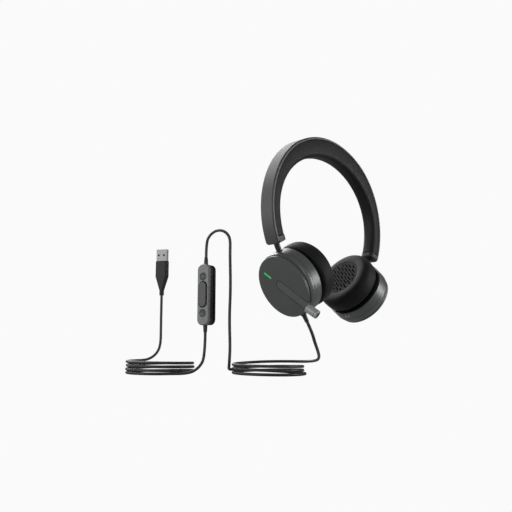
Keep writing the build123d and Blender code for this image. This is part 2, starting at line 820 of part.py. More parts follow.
def control_clip():
    z = clip_axis_z()
    low = -rear_thick - clip_gap - clip_thick
    plate = box_block(-clip_inset, low, low + clip_thick)
    plate = chamfer(plate.faces().sort_by(Axis.Z)[0].edges(), box_bevel)
    for s in (-1, 1):
        x = s * (clip_boss_width / 2 + 0.3 + clip_lug_thick / 2)
        plate -= Location((x, clip_pin_height, low)) * Box(clip_lug_thick + 0.5, 6.0, 20)
    boss = Rotation(0, 90, 0) * Cylinder(clip_boss - 0.3, clip_boss_width)
    plate += Location((0, clip_pin_height, z)) * boss
    hole = Rotation(0, 90, 0) * Cylinder(clip_pin_radius + run_gap, clip_boss_width + 2)
    foot = Rotation(0, 90, 0) * Cylinder(0.7, box_width - 6)
    plate += Location((0, -box_height / 2 + 4.0, low + clip_thick - 0.1)) * foot
    return plate - Location((0, clip_pin_height, z)) * hole


def clip_pin():
    length = clip_boss_width + 0.6 + 2 * clip_lug_thick
    place = Location((0, clip_pin_height, clip_axis_z())) * Rotation(0, 90, 0)
    return place * Cylinder(clip_pin_radius, length)


# ---------------------------------------------------------------- plug

def plug_plane():
    return facing_plane(plug_mouth, plug_facing)


def usb_tube(grow, low, high):
    wide, thick = usb_width + 2 * grow, usb_height + 2 * grow
    body = Box(wide, high - low, thick, align=(Align.CENTER, Align.MIN, Align.CENTER))
    body = fillet(body.edges().filter_by(Axis.Y), 0.6 + grow)
    return Location((0, low, 0)) * body


def plug_shell():
    low = -usb_length - usb_buried
    body = usb_tube(0, low, 0) - usb_tube(-usb_wall, low + 0.6, 1)
    for s in (-1, 1):
        body -= Location((s * latch_apart / 2, -latch_down, 0)) * Box(latch_width, latch_height, 20)
    return body


def plug_tongue():
    low = -usb_length - usb_buried + 0.6
    block = Box(usb_width - 2 * usb_wall - 0.1, usb_buried + 0.4, usb_height - 2 * usb_wall - 0.1,
                align=(Align.CENTER, Align.MIN, Align.CENTER))
    tongue = Box(usb_width - 2 * usb_wall - 0.8, usb_length + usb_buried - 1.2, tongue_thick,
                 align=(Align.CENTER, Align.MIN, Align.MAX))
    block = fillet(block.edges().filter_by(Axis.Y), 0.5)
    body = Location((0, low, 0)) * block + Location((0, low, -0.05)) * tongue
    return body - contact_bars(0.02)


def contact_bars(grow):
    bars = None
    for x in (-3.5, -1.0, 1.0, 3.5):
        bar = Box(1.0 + 2 * grow, 8.6, 0.3, align=(Align.CENTER, Align.MAX, Align.CENTER))
        bar = Location((x, -1.6 + grow, -0.05)) * bar
        bars = bar if bars is None else bars + bar
    root = Box(8.0 + 2 * grow, 1.2, 0.3, align=(Align.CENTER, Align.MAX, Align.CENTER))
    return bars + Location((0, -9.4, -0.05)) * root


def rounded(width, thick, corner, y):
    plane = Plane(origin=(0, y, 0), x_dir=(1, 0, 0), z_dir=(0, -1, 0))
    return plane * RectangleRounded(width, thick, corner)


def plug_mould():
    top = -usb_length
    knee = top - mould_straight
    ankle = knee - mould_taper
    body = loft([rounded(mould_width, mould_thick, 2.4, top), rounded(mould_width, mould_thick, 2.4, knee)])
    body = fillet(body.faces().sort_by(Axis.Y)[-1].edges(), 0.8)
    size = 2 * mould_tail_radius
    wide_end = rounded(mould_width, mould_thick, 2.4, knee)
    body += loft([wide_end, rounded(size, size, mould_tail_radius * 0.96, ankle)])
    tail = Rotation(90, 0, 0) * Cylinder(mould_tail_radius, mould_tail + 0.01, align=on_base)
    body += Location((0, ankle + 0.01, 0)) * tail
    return body - usb_tube(0, -usb_length - usb_buried, 5)


# ---------------------------------------------------------------- build

os.makedirs("parts", exist_ok=True)

save(headband_shell(), "headband_shell")
save(headband_spring(), "headband_spring")
save(headband_pad(), "headband_pad")
for side, name in ((-1, "mic"), (1, "plain")):
    save(headband_end(side), f"headband_end_{name}")
    save(arm_guide(side), f"{name}_arm_guide")
    save(arm(side), f"{name}_arm")
    save(pivot(side), f"{name}_pivot")
    frame = cup_plane(side)
    save(frame * outer_shell(side), f"{name}_cup_outer_shell")
    save(frame * rear_ring(side), f"{name}_cup_rear_ring")
    save(frame * baffle(side), f"{name}_cup_baffle")
    save(frame * cushion_carrier(), f"{name}_cup_cushion_plate")
    save(frame * cushion(), f"{name}_cup_cushion")
    save(frame * driver_frame(), f"{name}_cup_driver_frame")
    save(frame * driver_magnet(), f"{name}_cup_driver_magnet")

mic_frame = cup_plane(-1)
save(mic_frame * circuit_board(), "mic_cup_circuit_board")
save(mic_frame * mic_cap(), "mic_cup_cap")
save(mic_frame * light_bar(0, 0), "mic_cup_light")
save(mic_frame * boom(), "boom_strip")
save(mic_frame * boom_barrel(), "boom_barrel")
save(mic_frame * boom_capsule(), "boom_capsule")
save(mic_frame * gland(), "mic_cup_gland")

plain_frame = cup_plane(1)
save(plain_frame * plain_cap(), "plain_cup_cap")
save(plain_frame * battery(), "plain_cup_battery")
for index in range(2):
    save(plain_frame * contact(index), f"plain_cup_contact_{index + 1}")

box_frame = box_plane()
save(box_frame * control_front(), "control_front_shell")
save(box_frame * control_rear(), "control_rear_shell")
save(box_frame * control_board(), "control_board")
save(box_frame * push_button(call_height), "control_call_button")
save(box_frame * push_button(mute_height), "control_mute_button")
save(box_frame * volume_rocker(), "control_volume_rocker")
save(box_frame * box_light(), "control_light")
save(box_frame * control_relief(1), "control_relief_top")
save(box_frame * control_relief(-1), "control_relief_bottom")
save(box_frame * control_clip(), "control_clip")
save(box_frame * clip_pin(), "control_clip_pin")

plug_frame = plug_plane()
save(plug_frame * plug_shell(), "plug_shell")
save(plug_frame * plug_tongue(), "plug_tongue")
save(plug_frame * contact_bars(0), "plug_contacts")
save(plug_frame * plug_mould(), "plug_overmould")

save(coil(near_coil_centre, near_coil_radius, near_coil_height), "cord_coil_near")
save(coil(far_coil_centre, far_coil_radius, far_coil_height), "cord_coil_far")
drop = cord_tube(drop_points, "cord_drop")
save(clear_of_coil(drop, near_coil_centre, near_coil_radius, near_coil_height), "cord_drop")
riser = cord_tube(riser_points, "cord_riser")
save(clear_of_coil(riser, near_coil_centre, near_coil_radius, near_coil_height), "cord_riser")
lower = cord_tube(lower_points, "cord_lower")
save(clear_of_coil(lower, far_coil_centre, far_coil_radius, far_coil_height), "cord_lower")
plug_lead = cord_tube(lead_points, "cord_plug_lead")
save(clear_of_coil(plug_lead, far_coil_centre, far_coil_radius, far_coil_height), "cord_plug_lead")
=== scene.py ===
import json
from math import cos, degrees, pi, radians, sin, sqrt

import bmesh
import bpy
from mathutils import Matrix, Vector


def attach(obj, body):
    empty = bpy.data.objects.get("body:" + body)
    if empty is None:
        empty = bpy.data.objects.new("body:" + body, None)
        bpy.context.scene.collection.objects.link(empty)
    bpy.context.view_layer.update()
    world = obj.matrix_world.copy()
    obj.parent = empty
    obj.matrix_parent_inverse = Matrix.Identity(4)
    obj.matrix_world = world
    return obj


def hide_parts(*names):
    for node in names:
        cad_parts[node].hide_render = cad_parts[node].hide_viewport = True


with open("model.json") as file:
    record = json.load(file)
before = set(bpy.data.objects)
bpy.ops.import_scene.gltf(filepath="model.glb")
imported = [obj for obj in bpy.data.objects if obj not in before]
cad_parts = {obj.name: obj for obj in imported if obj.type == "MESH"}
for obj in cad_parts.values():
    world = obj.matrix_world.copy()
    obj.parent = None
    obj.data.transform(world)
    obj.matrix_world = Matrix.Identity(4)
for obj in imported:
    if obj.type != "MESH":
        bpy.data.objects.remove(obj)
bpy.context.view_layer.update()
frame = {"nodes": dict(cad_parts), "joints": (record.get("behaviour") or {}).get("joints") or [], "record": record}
nodes = frame["nodes"]
joints = {j["name"]: j for j in frame["joints"]}
mounts = {m["name"]: m for m in frame["record"]["mounts"]}
mm = 0.001
sides = ("mic", "plain")

cameraView = {
    "place": (-0.43358, -0.32189, -0.16922),
    "heading": (0.7197, 0.6780, 0.1495),
    "lens": 42.893,
    "sensor": 36,
    "near": 0.01,
    "far": 20,
}


def makeCamera(view):
    data = bpy.data.cameras.new("camera")
    data.lens = view["lens"]
    data.sensor_width = view["sensor"]
    data.clip_start = view["near"]
    data.clip_end = view["far"]
    camera = bpy.data.objects.new("camera", data)
    bpy.context.scene.collection.objects.link(camera)
    camera.location = view["place"]
    camera.rotation_mode = "QUATERNION"
    camera.rotation_quaternion = Vector(view["heading"]).to_track_quat("-Z", "Y")
    bpy.context.scene.camera = camera


makeCamera(cameraView)
print("camera set")


# one node socket, so that shader maths reads as arithmetic
class Value:
    def __init__(self, finish, socket):
        self.finish = finish
        self.socket = socket

    def maths(self, operation, *others):
        return self.finish.node("ShaderNodeMath", {"operation": operation}, [self, *others])

    def __add__(self, other):
        return self.maths("ADD", other)

    def __sub__(self, other):
        return self.maths("SUBTRACT", other)

    def __rsub__(self, other):
        return self.finish.node("ShaderNodeMath", {"operation": "SUBTRACT"}, [other, self])

    def __mul__(self, other):
        return self.maths("MULTIPLY", other)

    __radd__ = __add__
    __rmul__ = __mul__


# the nodes of one material, or of the world
class Finish:
    def __init__(self, owner, endKind="ShaderNodeOutputMaterial"):
        owner.use_nodes = True
        self.owner = owner
        self.tree = owner.node_tree
        self.tree.nodes.clear()
        self.end = self.tree.nodes.new(endKind)

    # makes a node, sets it up, fills its inputs by place or name, and gives back one output
    def node(self, kind, settings=None, inputs=None, output=0):
        made = self.tree.nodes.new(kind)
        for key, value in (settings or {}).items():
            setattr(made, key, value)
        named = inputs.items() if isinstance(inputs, dict) else enumerate(inputs or [])
        for key, value in named:
            if isinstance(value, Value):
                self.tree.links.new(value.socket, made.inputs[key])
            elif value is not None:
                made.inputs[key].default_value = value
        return Value(self, made.outputs[output])

    def place(self):
        return self.node("ShaderNodeTexCoord", output="Object")

    def noise(self, scale, detail=2.0, rough=0.5, at=None):
        inputs = {"Vector": at or self.place(), "Scale": scale, "Detail": detail, "Roughness": rough}
        return self.node("ShaderNodeTexNoise", None, inputs, "Fac")

    def cells(self, scale, feature="F1", randomness=1.0):
        inputs = {"Vector": self.place(), "Scale": scale, "Randomness": randomness}
        return self.node("ShaderNodeTexVoronoi", {"feature": feature}, inputs, "Distance")

    # a number that wanders round its middle by an even share of the spread
    def wander(self, pattern, middle, spread):
        return (pattern - 0.5) * spread + middle

    def blendColours(self, amount, low, high):
        return self.node("ShaderNodeMix", {"data_type": "RGBA"}, {0: amount, 6: low, 7: high}, 2)

    def bump(self, height, strength, distance):
        inputs = {"Height": height, "Strength": strength, "Distance": distance}
        return self.node("ShaderNodeBump", None, inputs)

    def show(self, shader):
        self.tree.links.new(shader.socket, self.end.inputs[0])
        return self.owner

    def surface(self, **inputs):
        return self.show(self.node("ShaderNodeBsdfPrincipled", None, inputs))


def grey(level, tint=(1.0, 1.0, 1.0)):
    return (level * tint[0], level * tint[1], level * tint[2], 1)


coolTint = (0.95, 1.03, 0.98)


def newFinish(name):
    return Finish(bpy.data.materials.new(name))


plasticMake = {"cloud": 45, "grain": 3200, "darker": 0.9, "lighter": 1.1, "gloss": 0.03, "deep": 0.00004}


# moulded plastic: fine spark-eroded grain, uneven gloss, faint cloudy shade
def plasticFinish(name, shade, rough, grain=0.25, tint=coolTint, specular=0.5):
    make = plasticMake
    f = newFinish(name)
    cloud = f.noise(make["cloud"], 3)
    fine = f.noise(make["grain"], 2)
    low, high = grey(shade * make["darker"], tint), grey(shade * make["lighter"], tint)
    return f.surface(**{
        "Base Color": f.blendColours(cloud, low, high),
        "Roughness": f.wander(cloud, rough, make["gloss"]),
        "Normal": f.bump(fine, grain, make["deep"]),
        "Specular IOR Level": specular,
    })


leatherMake = {
    "cloud": 60, "creaseShare": 0.55, "creaseWide": 0.12, "darker": 0.7, "lighter": 1.15, "gloss": 0.12,
    "cloudTone": 0.5, "creaseShadeTone": 0.5, "creaseHigh": 0.6, "cellHigh": 0.6, "deep": 0.00012,
    "sheen": 0.06, "sheenRough": 0.4,
}


# soft leatherette: pebbled cells with fine creases between them, and painted shade that darkens the creases
def leatherFinish(name, shade, rough, pebble=1500, depth=0.5, specular=0.35):
    make = leatherMake
    f = newFinish(name)
    cells = f.cells(pebble, "SMOOTH_F1")
    gaps = f.cells(pebble * make["creaseShare"], "DISTANCE_TO_EDGE")
    cloud = f.noise(make["cloud"], 3)
    span = {"Value": gaps, "From Min": 0.0, "From Max": make["creaseWide"]}
    crease = f.node("ShaderNodeMapRange", None, span)
    low, high = grey(shade * make["darker"], coolTint), grey(shade * make["lighter"], coolTint)
    # colour: a random cloudy tone, plus painted shade that darkens the creases between the pebbles
    cloudAndCreaseShade = cloud * make["cloudTone"] + crease * make["creaseShadeTone"]
    height = crease * make["creaseHigh"] + cells * make["cellHigh"]
    return f.surface(**{
        "Base Color": f.blendColours(cloudAndCreaseShade, low, high),
        "Roughness": f.wander(cloud, rough, make["gloss"]),
        "Normal": f.bump(height, depth, make["deep"]),
        "Specular IOR Level": specular,
        "Sheen Weight": make["sheen"],
        "Sheen Roughness": make["sheenRough"],
    })


metalMake = {
    "cloud": 70, "lines": 2.5, "darker": 0.92, "lighter": 1.06, "gloss": 0.14,
    "strength": 0.12, "deep": 0.00003,
}


# drawn or stamped metal: fine lines stretched along one way
def metalFinish(name, shade, rough, tint=(1, 1, 1), brush=(900, 900, 60), metallic=1.0):
    make = metalMake
    f = newFinish(name)
    stretched = f.node("ShaderNodeVectorMath", {"operation": "MULTIPLY"}, [f.place(), brush])
    lines = f.noise(make["lines"], 3, 0.6, stretched)
    cloud = f.noise(make["cloud"], 2)
    low, high = grey(shade * make["darker"], tint), grey(shade * make["lighter"], tint)
    return f.surface(**{
        "Base Color": f.blendColours(cloud, low, high),
        "Roughness": f.wander(lines, rough, make["gloss"]),
        "Metallic": metallic,
        "Normal": f.bump(lines, make["strength"], make["deep"]),
    })


rubberMake = {
    "cloud": 220, "grain": 2600, "darker": 0.85, "lighter": 1.15, "gloss": 0.1,
    "strength": 0.2, "deep": 0.00005, "specular": 0.4,
}


def rubberFinish(name, shade, rough):
    make = rubberMake
    f = newFinish(name)
    cloud = f.noise(make["cloud"], 3)
    fine = f.noise(make["grain"], 2)
    low, high = grey(shade * make["darker"], coolTint), grey(shade * make["lighter"], coolTint)
    return f.surface(**{
        "Base Color": f.blendColours(cloud, low, high),
        "Roughness": f.wander(cloud, rough, make["gloss"]),
        "Normal": f.bump(fine, make["strength"], make["deep"]),
        "Specular IOR Level": make["specular"],
    })


glowMake = {"cloud": 900, "darker": 0.9, "rough": 0.3}


# a lit window: its own colour, with a faint unevenness
def glowFinish(name, colour, strength):
    make = glowMake
    f = newFinish(name)
    cloud = f.noise(make["cloud"], 1)
    lit = f.blendColours(cloud, (*[c * make["darker"] for c in colour], 1), (*colour, 1))
    return f.surface(**{
        "Base Color": lit,
        "Roughness": make["rough"],
        "Emission Color": lit,
        "Emission Strength": strength,
    })


boardMake = {
    "tracks": 700, "evenness": 0.2, "edge": (0.05, 0.09), "copper": (0.05, 0.3, 0.12, 1),
    "mask": (0.01, 0.11, 0.045, 1), "rough": 0.35, "gloss": 0.1, "strength": 0.3,
    "deep": 0.00005,
}


# solder mask with raised tracks between its cells
def boardFinish(name):
    make = boardMake
    f = newFinish(name)
    tracks = f.cells(make["tracks"], "DISTANCE_TO_EDGE", make["evenness"])
    span = {"Value": tracks, "From Min": make["edge"][0], "From Max": make["edge"][1]}
    track = f.node("ShaderNodeMapRange", None, span)
    return f.surface(**{
        "Base Color": f.blendColours(track, make["copper"], make["mask"]),
        "Roughness": make["rough"] + track * make["gloss"],
        "Normal": f.bump(track, make["strength"], make["deep"]),
    })


# each plastic, leather, metal and rubber has its shade, then its roughness, then what differs from the rest
finishes = {
    "cupFace": plasticFinish("satinCupFace", 0.078, 0.45, 0.08),
    "cupWall": plasticFinish("satinCupWall", 0.085, 0.36, 0.0, specular=0.9),
    "boomFace": plasticFinish("satinBoomFace", 0.1, 0.42, 0.08),
    "bandShell": plasticFinish("satinBandShell", 0.03, 0.5, 0.0, specular=0.9),
    "darkPlastic": plasticFinish("mattDarkPlastic", 0.012, 0.45, 0.15, specular=0.4),
    # near-black matt plastic: painted shade for the groove between cushion and rear ring, and for the boom's seam
    "grooveShadeBlack": plasticFinish("paintedShadeGrooveBlack", 0.002, 0.8, 0.1, specular=0.08),
    "driverPlastic": plasticFinish("driverPlastic", 0.02, 0.4),
    "controlFace": plasticFinish("satinControlFace", 0.19, 0.42, 0.08),
    "buttonPlastic": plasticFinish("satinButtonPlastic", 0.042, 0.4, 0.08),
    "plugMould": plasticFinish("softPlugMould", 0.016, 0.5, 0.15, specular=0.35),
    "tongue": plasticFinish("plugTonguePlastic", 0.004, 0.5, specular=0.2),
    "batteryWrap": plasticFinish("batteryWrap", 0.08, 0.25, 0.05),
    "cushionLeather": leatherFinish("softCushionLeather", 0.009, 0.58, depth=0.2, specular=0.2),
    "grilleLeather": leatherFinish("softGrilleLeather", 0.02, 0.7, depth=0.15, specular=0.15),
    "padLeather": leatherFinish("softPadLeather", 0.011, 0.54, depth=0.06, specular=0.22),
    "speakerCloth": leatherFinish("speakerCloth", 0.001, 0.9, 3000, 0.3, 0.05),
    "barrel": plasticFinish("satinBarrelMetal", 0.3, 0.28, 0.02, specular=1.0),
    "armSteel": metalFinish("blackenedArmSteel", 0.05, 0.35, metallic=0.6),
    "pinSteel": metalFinish("plainPinSteel", 0.5, 0.35),
    "magnetSteel": metalFinish("plainMagnetSteel", 0.45, 0.4),
    "plugSteel": metalFinish("nickelPlugSteel", 0.42, 0.5, (1, 1, 1), (20, 20, 20), metallic=0.3),
    "gold": metalFinish("goldContact", 0.8, 0.25, (1.0, 0.75, 0.33)),
    "cord": rubberFinish("mattCordJacket", 0.035, 0.42),
    "relief": rubberFinish("mattReliefRubber", 0.028, 0.45),
    "greenLight": glowFinish("greenPointLight", (0.01, 0.22, 0.05), 0.25),
    "lightBar": glowFinish("greenLightBar", (0.025, 0.5, 0.12), 0.5),
    "board": boardFinish("circuitBoard"),
}
print("finishes made:", len(finishes))

nodeFinish = {
    "cupWall": ["{s}_cup_outer_shell", "{s}_cup_rear_ring"],
    "cupFace": ["{s}_cup_cap"],
    # painted shade: the baffle and cushion plate are near black so the groove between cushion and rear ring reads
    # as shadow
    "grooveShadeBlack": ["{s}_cup_baffle", "{s}_cup_cushion_plate"],
    "darkPlastic": ["{s}_pivot", "{s}_arm_guide", "headband_end_{s}",
                    "control_rear_shell", "control_clip", "boom_capsule"],
    "driverPlastic": ["{s}_cup_driver_frame"],
    "magnetSteel": ["{s}_cup_driver_magnet"],
    "armSteel": ["{s}_arm"],
    "board": ["mic_cup_circuit_board", "control_board"],
    "controlFace": ["control_front_shell"],
    "buttonPlastic": ["control_call_button", "control_mute_button", "control_volume_rocker"],
    "greenLight": ["control_light"],
    "lightBar": ["mic_cup_light"],
    "pinSteel": ["control_clip_pin", "headband_spring"],
    "plugMould": ["plug_overmould"],
    "plugSteel": ["plug_shell"],
    "tongue": ["plug_tongue"],
    "gold": ["plug_contacts", "plain_cup_contact_1", "plain_cup_contact_2"],
    "bandShell": ["headband_shell"],
    "boomFace": ["boom_strip"],
    "barrel": ["boom_barrel"],
    "batteryWrap": ["plain_cup_battery"],
    "relief": ["mic_cup_gland", "control_relief_top", "control_relief_bottom"],
    "cord": ["cord_drop", "cord_riser", "cord_lower", "cord_plug_lead", "cord_coil_near", "cord_coil_far"],
    "padLeather": ["headband_pad"],
    "cushionLeather": ["{s}_cup_cushion"],
}
for finishName, names in nodeFinish.items():
    for name in names:
        for side in sides:
            node = nodes[name.format(s=side)]
            node.data.materials.clear()
            node.data.materials.append(finishes[finishName])
print("nodes finished")


def addPiece(name, mesh, finish, body, smooth=True):
    piece = bpy.data.objects.new(name, mesh)
    bpy.context.scene.collection.objects.link(piece)
    piece.data.materials.append(finishes[finish])
    if smooth:
        for face in mesh.polygons:
            face.use_smooth = True
    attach(piece, body)
    return piece


# the two cords: control points in metres, with the turns of each coil added by a loop
tableZ = -0.1939
cordDrop = [
    (-0.0357, -0.0051, -0.1475), (-0.0312, -0.0066, -0.1563), (-0.0259, -0.0050, -0.1639),
    (-0.0097, 0.0040, -0.1718), (0.0102, 0.0179, -0.1772), (0.0286, 0.0348, -0.1807),
    (0.0348, 0.0530, -0.1820), (0.0241, 0.0676, -0.1817),
]
cordRiser = [
    (-0.0386, 0.0844, -0.1872), (-0.0432, 0.0792, -0.1846), (-0.0451, 0.0768, -0.1787),
    (-0.0448, 0.0764, -0.1677), (-0.0455, 0.0770, -0.1427), (-0.0448, 0.0762, -0.1136),
    (-0.0453, 0.0769, -0.0836), (-0.0451, 0.0766, -0.0696), (-0.0457, 0.0804, -0.0633),
    (-0.0466, 0.0871, -0.0596), (-0.0478, 0.0947, -0.0596), (-0.0487, 0.1014, -0.0633),
    (-0.0492, 0.1052, -0.0696), (-0.0492, 0.1052, -0.0841),
]
cordLower = [
    (-0.0492, 0.1052, -0.1547), (-0.0492, 0.1052, -0.1776), (-0.0532, 0.1084, -0.1868),
    (-0.0599, 0.1140, -0.1922), (-0.0754, 0.1264, -0.1924),
]
cordPlugLead = [
    (-0.0519, 0.1869, -0.1802), (-0.0431, 0.1861, -0.1751), (-0.0380, 0.1858, -0.1662),
    (-0.0382, 0.1860, -0.1441), (-0.0382, 0.1860, -0.1146),
]
# a coil's centre and radius are in metres and its start in degrees; its heights and spreads
# are pairs of turn and millimetres, above the table and outside the radius
nearCoil = {
    "centre": (-0.0116, 0.0605), "radius": 0.0326, "start": 43.3, "turns": 3.25, "way": 1,
    "heights": (
        (0, 12.0), (0.25, 10.0), (0.75, 8.2), (1.75, 4.9), (2.6, 1.5), (2.9, 2.0), (3.25, 5.6),
    ),
    "spread": ((0, 0), (2.5, 0), (2.8, 2.6), (3.25, 2.9)),
}
farCoil = {
    "centre": (-0.0609, 0.1565), "radius": 0.0322, "start": 223.3, "turns": 3.375, "way": -1,
    "heights": ((0, 1.4), (0.5, 2.6), (3.375, 12.8)),
    "spread": ((0, 0), (1, 0), (1.5, 0.5), (2.2, -0.3), (3.375, 0)),
}
cordMake = {"diameter": 2.7 * mm, "pointsPerTurn": 16, "roundSteps": 5, "alongSteps": 10}


# reads a table of (turn, value) pairs at any turn
def between(table, t):
    for (t0, v0), (t1, v1) in zip(table, table[1:]):
        if t <= t1:
            return v0 + (v1 - v0) * (t - t0) / (t1 - t0)
    return table[-1][1]


def coilTurns(coil):
    points = []
    count = round(coil["turns"] * cordMake["pointsPerTurn"])
    for i in range(count + 1):
        t = coil["turns"] * i / count
        a = radians(coil["start"] + coil["way"] * 360 * t)
        r = coil["radius"] + between(coil["spread"], t) * mm
        x = coil["centre"][0] + r * cos(a)
        y = coil["centre"][1] + r * sin(a)
        points.append((x, y, tableZ + between(coil["heights"], t) * mm))
    return points


def makeCord(name, points, replaced):
    curve = bpy.data.curves.new(name, "CURVE")
    curve.dimensions = "3D"
    curve.bevel_depth = cordMake["diameter"] / 2
    curve.bevel_resolution = cordMake["roundSteps"]
    curve.resolution_u = cordMake["alongSteps"]
    curve.use_fill_caps = True
    spline = curve.splines.new("NURBS")
    spline.points.add(len(points) - 1)
    for point, co in zip(spline.points, points):
        point.co = (*co, 1)
    spline.order_u = 3
    spline.use_endpoint_u = True
    curve.materials.append(finishes["cord"])
    cord = bpy.data.objects.new(name, curve)
    bpy.context.scene.collection.objects.link(cord)
    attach(cord, "mic_cup")
    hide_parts(*replaced)
    return cord


nearCord = makeCord("nearCord", cordDrop + coilTurns(nearCoil) + cordRiser,
                    ["cord_drop", "cord_coil_near", "cord_riser"])
farCord = makeCord("farCord", cordLower + coilTurns(farCoil) + cordPlugLead,
                   ["cord_lower", "cord_coil_far", "cord_plug_lead"])
print("cords laid")


# where the middle of the ear face is from the middle of the outer face, in metres
earFaceAt = {"along": 0.020, "deep": 0.0357}


# each cup's own frame: x along the tilt axis, y up to the arm, z from the outer face to the ear
def cupFrame(side):
    x = Vector(joints[side + "_cup_tilt"]["axis"]).normalized()
    z = Vector(mounts[side + "_ear_face"]["axis"]).normalized()
    y = z.cross(x).normalized()
    x = y.cross(z)
    if side == "mic":
        origin = Vector(joints["boom_turn"]["pos_m"])
    else:
        origin = Vector(mounts[side + "_ear_face"]["pos_m"]) - x * earFaceAt["along"] - z * earFaceAt["deep"]
    matrix = Matrix.Identity(4)
    for row in range(3):
        for column, axis in enumerate((x, y, z, origin)):
            matrix[row][column] = axis[row]
    return matrix


# makes a mesh of what was built, with all its faces turned outwards
def meshFrom(name, bm):
    bmesh.ops.recalc_face_normals(bm, faces=bm.faces)
    mesh = bpy.data.meshes.new(name)
    bm.to_mesh(mesh)
    bm.free()
    return mesh


# four-sided faces between two closed rings of as many points
def joinRings(bm, low, high):
    for k in range(len(low)):
        n = (k + 1) % len(low)
        bm.faces.new((low[k], low[n], high[n], high[k]))


# turns a closed outline of (radius, height) points in millimetres into a round mesh
def turnedMesh(name, outline, segments=96, wobble=None):
    bm = bmesh.new()
    rings = []
    for r, z in outline:
        if r < 1e-6:  # on the axis, so one point
            rings.append([bm.verts.new((0, 0, z * mm))])
            continue
        ring = []
        for i in range(segments):
            a = 2 * pi * i / segments
            dr, dz = wobble(a, z) if wobble else (0, 0)
            ring.append(bm.verts.new(((r + dr) * mm * cos(a), (r + dr) * mm * sin(a), (z + dz) * mm)))
        rings.append(ring)
    for low, high in zip(rings, rings[1:]):
        for i in range(segments):
            j = (i + 1) % segments
            corners = [low[i % len(low)], low[j % len(low)], high[j % len(high)], high[i % len(high)]]
            unique = list(dict.fromkeys(corners))
            if len(unique) > 2:
                bm.faces.new(unique)
    return meshFrom(name, bm)


# all in millimetres: back edge is pairs of in from the side and up from the back,
# front edge is pairs of in from the side and down from the front
cushionMake = {
    "outer": 27.9, "back": 20.35, "front": 35.75, "plate": 25.8, "plateDepth": 21.65,
    "lipRise": 0.2, "lip": 0.7,
    "backEdge": ((1.6, 0.05), (0.7, 0.6), (0.15, 1.6), (0, 3.0), (-0.08, 5), (-0.05, 8)),
    "frontEdge": (
        (0.15, 5), (0.75, 3.2), (1.8, 1.7), (3.3, 0.65), (5.2, 0.12), (7.0, 0), (8.4, 0.02), (9.5, 0.08),
    ),
    "dish": 17.2, "dishDepth": 0.25, "dishRound": (0.25, 0.16, 0.1), "dishFloor": 1.2, "fill": 0.85,
}
# how uneven a cushion is: heights in millimetres, waves to a turn, and where along the axis
wobbleMake = {
    "coarse": {"high": 0.05, "waves": 9},
    "fine": {"high": 0.04, "waves": 23, "start": 2.1},
    "face": {"high": 0.04, "waves": 5, "start": 0.7, "above": 33},
    "middle": 26,
    "reach": 7,
}
# the slotted sheet over the speaker, in millimetres and degrees
grilleMake = {
    "radius": 17.1, "thick": 0.9, "edge": (0.4, 0.04), "sag": ((0.7, 0), (0.35, 0.1), (0, 0.12)),
    "segments": 64,
    "slotLong": 7.0, "slotWide": 1.15, "alongStep": 8.4, "acrossStep": 2.4, "fieldRadius": 15.9, "turn": -46,
    "eachWay": 4, "leastReach": 0.2, "shortest": 1.05, "endSteps": 6, "cutDepth": 3,
}
# the cloth behind it, in from the sheet's edge and back from its rear face
clothMake = {"inset": 0.3, "back": 0.25, "front": 0.02, "segments": 48}


def cushionOutline(make):
    outer, back, front, plate, dish = [make[k] for k in ("outer", "back", "front", "plate", "dish")]
    rim = front - make["dishDepth"]
    floor = rim - make["dishFloor"]
    out, drop, below = make["dishRound"]
    outline = [(share * plate, make["plateDepth"]) for share in (0, 0.5, 1)]
    outline += [(plate, back + make["lipRise"]), (plate + make["lip"], back)]
    outline += [(outer - inset, back + rise) for inset, rise in make["backEdge"]]
    outline += [(outer - inset, front - fall) for inset, fall in make["frontEdge"]]
    outline += [(dish + out, front - drop), (dish, rim - below)]
    outline += [(share * dish, floor) for share in (1, 0.5, 0)]
    return outline


# how far a cushion's skin stands off its round shape, outwards and along the axis
def softWobble(a, z):
    coarse, fine, face = wobbleMake["coarse"], wobbleMake["fine"], wobbleMake["face"]
    side = max(0.0, 1 - abs(z - wobbleMake["middle"]) / wobbleMake["reach"])
    outwards = coarse["high"] * sin(coarse["waves"] * a + z) * side
    outwards += fine["high"] * sin(fine["waves"] * a + fine["start"]) * side
    along = face["high"] * sin(face["waves"] * a + face["start"]) if z > face["above"] else 0
    return outwards, along


# one round-ended bar for each slot of the field, and how many there are
def slotCutters(make, low, high):
    bm = bmesh.new()
    t = radians(make["turn"])
    along, across = Vector((cos(t), sin(t), 0)), Vector((-sin(t), cos(t), 0))
    wide, steps = make["slotWide"], make["endSteps"]
    half = int(make["fieldRadius"] / make["acrossStep"]) + 1
    count = 0
    for i in range(-half, half + 1):
        for j in range(-make["eachWay"], make["eachWay"] + 1):
            centre = across * (i * make["acrossStep"]) + along * ((j + 0.5 * (i % 2)) * make["alongStep"])
            reach = make["fieldRadius"] - centre.length
            if reach < make["leastReach"]:
                continue
            length = min(make["slotLong"], max(wide * make["shortest"], 2 * reach + wide))
            r = wide / 2
            outline = []
            for s in (1, -1):
                for k in range(steps + 1):
                    a = -pi / 2 + pi * k / steps
                    end = along * (s * (length / 2 - r + r * cos(a)))
                    outline.append(centre + end + across * (s * r * sin(a)))
            bottom = [bm.verts.new((p.x * mm, p.y * mm, low * mm)) for p in outline]
            top = [bm.verts.new((p.x * mm, p.y * mm, high * mm)) for p in outline]
            bm.faces.new(list(reversed(bottom)))
            bm.faces.new(top)
            joinRings(bm, bottom, top)
            count += 1
    return meshFrom("slotCutters", bm), count


